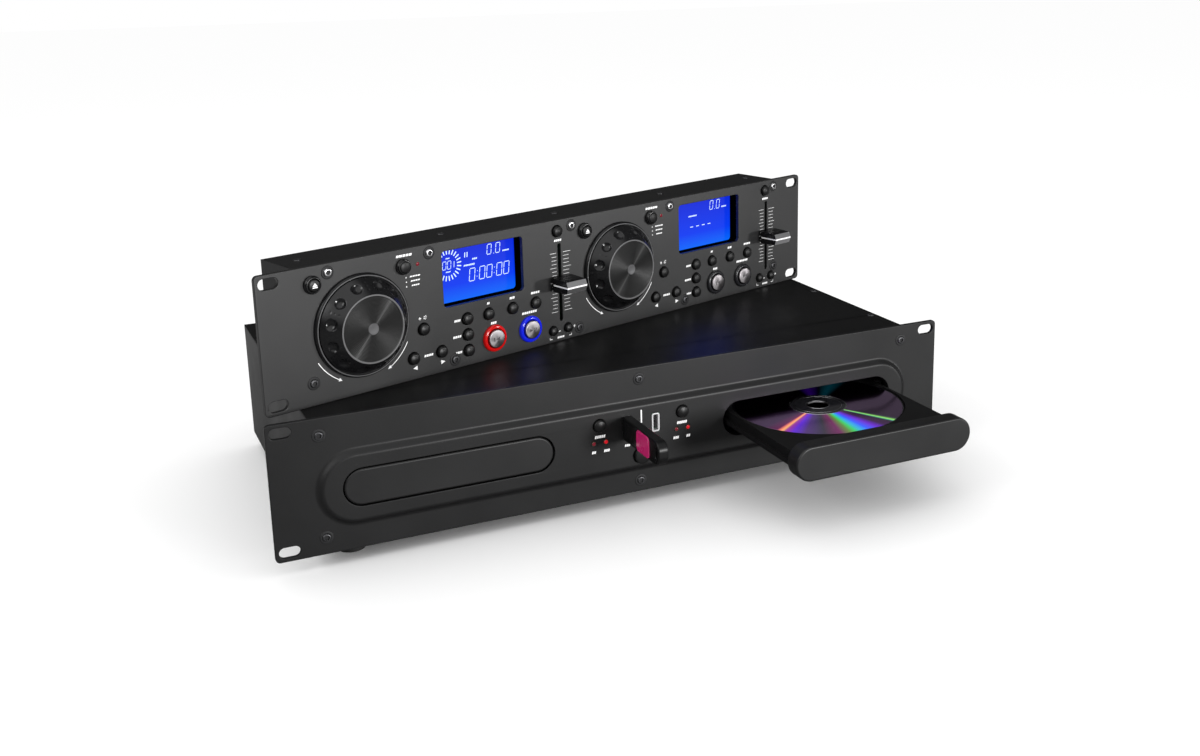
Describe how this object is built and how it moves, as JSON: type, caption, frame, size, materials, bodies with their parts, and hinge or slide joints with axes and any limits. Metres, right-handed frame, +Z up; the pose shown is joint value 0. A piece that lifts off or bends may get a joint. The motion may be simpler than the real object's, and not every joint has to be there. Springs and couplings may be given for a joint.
{
  "type": "dual cd player for dj",
  "caption": "Rack-mount twin disc player: a drive unit with two sliding disc trays and a separate control unit with jog wheels, pitch faders, buttons and lit displays.",
  "frame": {"origin": "centre of the object's bounding box in X and Y, at the bottom of the rubber feet", "axes": "+X along the drive unit's front, to the right seen from the front; +Y from the front to the back; +Z up"},
  "size_m": [0.4826, 0.352, 0.1832],
  "materials": {
    "front_paint": "satin black powder coat",
    "case_paint": "fine-grained black powder coat",
    "foot_rubber": "matte",
    "screw_steel": "zinc plated",
    "frame_plastic": "moulded",
    "mechanism_steel": "plain",
    "circuit_board": "green solder mask",
    "tray_plastic": "moulded, fine texture",
    "fascia_plastic": "satin",
    "disc_plastic": "mirror layer under clear plastic",
    "stick_plastic": "black with a coloured slider",
    "display": "lit blue",
    "bezel_plastic": "gloss black and clear rings",
    "jog_plastic": "gloss black with a spun crown",
    "slider_plastic": "black with a silver ridge",
    "silver_cap": "silver",
    "button_rubber": "soft touch"
  },
  "bodies": {
    "drive_unit": {"drive_front_panel": "front_paint", "drive_chassis": "case_paint", "drive_top_cover": "case_paint", "rubber_feet": "foot_rubber", "drive_screws": "screw_steel", "loader_frames": "frame_plastic", "transport_mechanisms": "mechanism_steel", "circuit_boards": "circuit_board", "power_supply": "circuit_board"},
    "control_unit": {"control_front_panel": "front_paint", "control_chassis": "case_paint", "control_screws": "screw_steel", "display_modules": "display", "control_board": "circuit_board", "control_bezels": "bezel_plastic"},
    "left_tray": {"left_tray": "tray_plastic", "left_tray_front": "fascia_plastic"},
    "right_tray": {"right_tray": "tray_plastic", "right_tray_front": "fascia_plastic"},
    "disc": {"compact_disc": "disc_plastic"},
    "usb_stick": {"usb_stick": "stick_plastic"},
    "left_jog_wheel": {"left_jog_wheel": "jog_plastic"},
    "right_jog_wheel": {"right_jog_wheel": "jog_plastic"},
    "left_pitch_slider": {"left_pitch_slider": "slider_plastic"},
    "right_pitch_slider": {"right_pitch_slider": "slider_plastic"},
    "power_button": {"power_button": "button_rubber"},
    "left_source_button": {"left_source_button": "button_rubber"},
    "right_source_button": {"right_source_button": "button_rubber"},
    "left_eject_button": {"left_eject_button": "button_rubber"},
    "left_jog_mode_button": {"left_jog_mode_button": "button_rubber"},
    "left_plus_ten_button": {"left_plus_ten_button": "button_rubber"},
    "left_track_back_button": {"left_track_back_button": "button_rubber"},
    "left_track_forward_button": {"left_track_forward_button": "button_rubber"},
    "left_time_button": {"left_time_button": "button_rubber"},
    "left_single_button": {"left_single_button": "button_rubber"},
    "left_program_button": {"left_program_button": "button_rubber"},
    "left_loop_in_button": {"left_loop_in_button": "button_rubber"},
    "left_loop_out_button": {"left_loop_out_button": "button_rubber"},
    "left_reloop_button": {"left_reloop_button": "button_rubber"},
    "left_cue_button": {"left_cue_button": "silver_cap"},
    "left_play_button": {"left_play_button": "silver_cap"},
    "left_pitch_button": {"left_pitch_button": "button_rubber"},
    "left_bend_down_button": {"left_bend_down_button": "button_rubber"},
    "left_bend_up_button": {"left_bend_up_button": "button_rubber"},
    "right_eject_button": {"right_eject_button": "button_rubber"},
    "right_jog_mode_button": {"right_jog_mode_button": "button_rubber"},
    "right_plus_ten_button": {"right_plus_ten_button": "button_rubber"},
    "right_track_back_button": {"right_track_back_button": "button_rubber"},
    "right_track_forward_button": {"right_track_forward_button": "button_rubber"},
    "right_time_button": {"right_time_button": "button_rubber"},
    "right_single_button": {"right_single_button": "button_rubber"},
    "right_program_button": {"right_program_button": "button_rubber"},
    "right_loop_in_button": {"right_loop_in_button": "button_rubber"},
    "right_loop_out_button": {"right_loop_out_button": "button_rubber"},
    "right_reloop_button": {"right_reloop_button": "button_rubber"},
    "right_cue_button": {"right_cue_button": "silver_cap"},
    "right_play_button": {"right_play_button": "silver_cap"},
    "right_pitch_button": {"right_pitch_button": "button_rubber"},
    "right_bend_down_button": {"right_bend_down_button": "button_rubber"},
    "right_bend_up_button": {"right_bend_up_button": "button_rubber"}
  },
  "joints": [
    {"name": "control_unit_lift", "type": "slide", "parent": "drive_unit", "child": "control_unit", "axis": [0, 0, 1], "range_m": [0, 0.08]},
    {"name": "left_tray_slide", "type": "slide", "parent": "drive_unit", "child": "left_tray", "axis": [0, -1, 0], "range_m": [0, 0.147]},
    {"name": "right_tray_slide", "type": "slide", "parent": "drive_unit", "child": "right_tray", "axis": [0, -1, 0], "range_m": [-0.098, 0.049]},
    {"name": "disc_spin", "type": "hinge", "parent": "right_tray", "child": "disc", "pos_m": [0.1304, -0.0905, 0.05285], "axis": [0, 0, 1], "continuous": true},
    {"name": "usb_stick_pull", "type": "slide", "parent": "drive_unit", "child": "usb_stick", "axis": [0, -1, 0], "range_m": [0, 0.015]},
    {"name": "left_jog_turn", "type": "hinge", "parent": "control_unit", "child": "left_jog_wheel", "pos_m": [-0.17129, -0.03565, 0.13973], "axis": [0.309, -0.9511, 0], "continuous": true},
    {"name": "right_jog_turn", "type": "hinge", "parent": "control_unit", "child": "right_jog_wheel", "pos_m": [0.03281, 0.03066, 0.13973], "axis": [0.309, -0.9511, 0], "continuous": true},
    {"name": "left_pitch_slide", "type": "slide", "parent": "control_unit", "child": "left_pitch_slider", "axis": [0, 0, 1], "range_m": [-0.024, 0.024]},
    {"name": "right_pitch_slide", "type": "slide", "parent": "control_unit", "child": "right_pitch_slider", "axis": [0, 0, 1], "range_m": [-0.024, 0.024]},
    {"name": "power_press", "type": "slide", "parent": "drive_unit", "child": "power_button", "axis": [0, 1, 0], "range_m": [0, 0.0015], "stiffness_N_per_m": 200},
    {"name": "left_source_press", "type": "slide", "parent": "drive_unit", "child": "left_source_button", "axis": [0, 1, 0], "range_m": [0, 0.001], "stiffness_N_per_m": 200},
    {"name": "right_source_press", "type": "slide", "parent": "drive_unit", "child": "right_source_button", "axis": [0, 1, 0], "range_m": [0, 0.001], "stiffness_N_per_m": 200},
    {"name": "left_eject_press", "type": "slide", "parent": "control_unit", "child": "left_eject_button", "axis": [-0.309, 0.9511, 0], "range_m": [0, 0.001], "stiffness_N_per_m": 200},
    {"name": "left_jog_mode_press", "type": "slide", "parent": "control_unit", "child": "left_jog_mode_button", "axis": [-0.309, 0.9511, 0], "range_m": [0, 0.001], "stiffness_N_per_m": 200},
    {"name": "left_plus_ten_press", "type": "slide", "parent": "control_unit", "child": "left_plus_ten_button", "axis": [-0.309, 0.9511, 0], "range_m": [0, 0.001], "stiffness_N_per_m": 200},
    {"name": "left_track_back_press", "type": "slide", "parent": "control_unit", "child": "left_track_back_button", "axis": [-0.309, 0.9511, 0], "range_m": [0, 0.001], "stiffness_N_per_m": 200},
    {"name": "left_track_forward_press", "type": "slide", "parent": "control_unit", "child": "left_track_forward_button", "axis": [-0.309, 0.9511, 0], "range_m": [0, 0.001], "stiffness_N_per_m": 200},
    {"name": "left_time_press", "type": "slide", "parent": "control_unit", "child": "left_time_button", "axis": [-0.309, 0.9511, 0], "range_m": [0, 0.001], "stiffness_N_per_m": 200},
    {"name": "left_single_press", "type": "slide", "parent": "control_unit", "child": "left_single_button", "axis": [-0.309, 0.9511, 0], "range_m": [0, 0.001], "stiffness_N_per_m": 200},
    {"name": "left_program_press", "type": "slide", "parent": "control_unit", "child": "left_program_button", "axis": [-0.309, 0.9511, 0], "range_m": [0, 0.001], "stiffness_N_per_m": 200},
    {"name": "left_loop_in_press", "type": "slide", "parent": "control_unit", "child": "left_loop_in_button", "axis": [-0.309, 0.9511, 0], "range_m": [0, 0.001], "stiffness_N_per_m": 200},
    {"name": "left_loop_out_press", "type": "slide", "parent": "control_unit", "child": "left_loop_out_button", "axis": [-0.309, 0.9511, 0], "range_m": [0, 0.001], "stiffness_N_per_m": 200},
    {"name": "left_reloop_press", "type": "slide", "parent": "control_unit", "child": "left_reloop_button", "axis": [-0.309, 0.9511, 0], "range_m": [0, 0.001], "stiffness_N_per_m": 200},
    {"name": "left_cue_press", "type": "slide", "parent": "control_unit", "child": "left_cue_button", "axis": [-0.309, 0.9511, 0], "range_m": [0, 0.001], "stiffness_N_per_m": 200},
    {"name": "left_play_press", "type": "slide", "parent": "control_unit", "child": "left_play_button", "axis": [-0.309, 0.9511, 0], "range_m": [0, 0.001], "stiffness_N_per_m": 200},
    {"name": "left_pitch_press", "type": "slide", "parent": "control_unit", "child": "left_pitch_button", "axis": [-0.309, 0.9511, 0], "range_m": [0, 0.001], "stiffness_N_per_m": 200},
    {"name": "left_bend_down_press", "type": "slide", "parent": "control_unit", "child": "left_bend_down_button", "axis": [-0.309, 0.9511, 0], "range_m": [0, 0.001], "stiffness_N_per_m": 200},
    {"name": "left_bend_up_press", "type": "slide", "parent": "control_unit", "child": "left_bend_up_button", "axis": [-0.309, 0.9511, 0], "range_m": [0, 0.001], "stiffness_N_per_m": 200},
    {"name": "right_eject_press", "type": "slide", "parent": "control_unit", "child": "right_eject_button", "axis": [-0.309, 0.9511, 0], "range_m": [0, 0.001], "stiffness_N_per_m": 200},
    {"name": "right_jog_mode_press", "type": "slide", "parent": "control_unit", "child": "right_jog_mode_button", "axis": [-0.309, 0.9511, 0], "range_m": [0, 0.001], "stiffness_N_per_m": 200},
    {"name": "right_plus_ten_press", "type": "slide", "parent": "control_unit", "child": "right_plus_ten_button", "axis": [-0.309, 0.9511, 0], "range_m": [0, 0.001], "stiffness_N_per_m": 200},
    {"name": "right_track_back_press", "type": "slide", "parent": "control_unit", "child": "right_track_back_button", "axis": [-0.309, 0.9511, 0], "range_m": [0, 0.001], "stiffness_N_per_m": 200},
    {"name": "right_track_forward_press", "type": "slide", "parent": "control_unit", "child": "right_track_forward_button", "axis": [-0.309, 0.9511, 0], "range_m": [0, 0.001], "stiffness_N_per_m": 200},
    {"name": "right_time_press", "type": "slide", "parent": "control_unit", "child": "right_time_button", "axis": [-0.309, 0.9511, 0], "range_m": [0, 0.001], "stiffness_N_per_m": 200},
    {"name": "right_single_press", "type": "slide", "parent": "control_unit", "child": "right_single_button", "axis": [-0.309, 0.9511, 0], "range_m": [0, 0.001], "stiffness_N_per_m": 200},
    {"name": "right_program_press", "type": "slide", "parent": "control_unit", "child": "right_program_button", "axis": [-0.309, 0.9511, 0], "range_m": [0, 0.001], "stiffness_N_per_m": 200},
    {"name": "right_loop_in_press", "type": "slide", "parent": "control_unit", "child": "right_loop_in_button", "axis": [-0.309, 0.9511, 0], "range_m": [0, 0.001], "stiffness_N_per_m": 200},
    {"name": "right_loop_out_press", "type": "slide", "parent": "control_unit", "child": "right_loop_out_button", "axis": [-0.309, 0.9511, 0], "range_m": [0, 0.001], "stiffness_N_per_m": 200},
    {"name": "right_reloop_press", "type": "slide", "parent": "control_unit", "child": "right_reloop_button", "axis": [-0.309, 0.9511, 0], "range_m": [0, 0.001], "stiffness_N_per_m": 200},
    {"name": "right_cue_press", "type": "slide", "parent": "control_unit", "child": "right_cue_button", "axis": [-0.309, 0.9511, 0], "range_m": [0, 0.001], "stiffness_N_per_m": 200},
    {"name": "right_play_press", "type": "slide", "parent": "control_unit", "child": "right_play_button", "axis": [-0.309, 0.9511, 0], "range_m": [0, 0.001], "stiffness_N_per_m": 200},
    {"name": "right_pitch_press", "type": "slide", "parent": "control_unit", "child": "right_pitch_button", "axis": [-0.309, 0.9511, 0], "range_m": [0, 0.001], "stiffness_N_per_m": 200},
    {"name": "right_bend_down_press", "type": "slide", "parent": "control_unit", "child": "right_bend_down_button", "axis": [-0.309, 0.9511, 0], "range_m": [0, 0.001], "stiffness_N_per_m": 200},
    {"name": "right_bend_up_press", "type": "slide", "parent": "control_unit", "child": "right_bend_up_button", "axis": [-0.309, 0.9511, 0], "range_m": [0, 0.001], "stiffness_N_per_m": 200}
  ]
}
